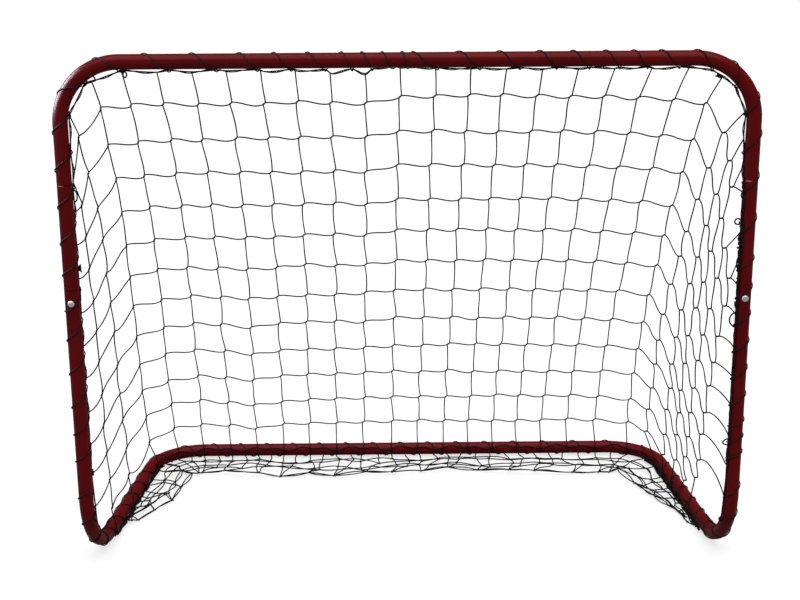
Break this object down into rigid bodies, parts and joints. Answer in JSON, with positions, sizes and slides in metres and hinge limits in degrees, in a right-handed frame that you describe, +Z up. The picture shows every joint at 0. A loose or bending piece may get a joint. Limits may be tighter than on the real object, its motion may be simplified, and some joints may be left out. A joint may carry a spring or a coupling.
{
  "type": "floorball goal",
  "caption": "Small floorball goal: bent tube frame in bolted pieces, with a knotted net laced round the tubes and open at the front.",
  "frame": {"origin": "on the floor, at the middle of the goal's bounding box", "axes": "+X to the right seen from the mouth, +Y from the mouth to the back, +Z up"},
  "size_m": [1.1574, 0.5462, 0.9062],
  "materials": {
    "red_paint": "gloss paint",
    "bare_steel": "bare",
    "zinc": "zinc plated, satin",
    "lacing_cord": "matt braided cord",
    "net_cord": "matt knotted twine"
  },
  "bodies": {
    "root": {"upper_corner_tube_left": "red_paint", "upper_corner_tube_right": "red_paint", "post_tube_left": "red_paint", "post_tube_right": "red_paint", "foot_tube_left": "red_paint", "foot_tube_right": "red_paint", "rear_corner_tube_left": "red_paint", "rear_corner_tube_right": "red_paint", "post_screw_left": "zinc", "post_screw_right": "zinc", "post_nut_left": "zinc", "post_nut_right": "zinc", "crossbar_joint_sleeve": "bare_steel", "rear_bar_joint_sleeve": "bare_steel", "net_edge_cord": "lacing_cord", "lacing_left_post": "lacing_cord", "lacing_crossbar": "lacing_cord", "lacing_right_post": "lacing_cord", "lacing_left_base": "lacing_cord", "lacing_rear": "lacing_cord", "lacing_right_base": "lacing_cord", "net_back": "net_cord", "net_side_left": "net_cord", "net_side_right": "net_cord", "net_floor_left": "net_cord", "net_floor_rear": "net_cord", "net_floor_right": "net_cord"}
  },
  "joints": []
}
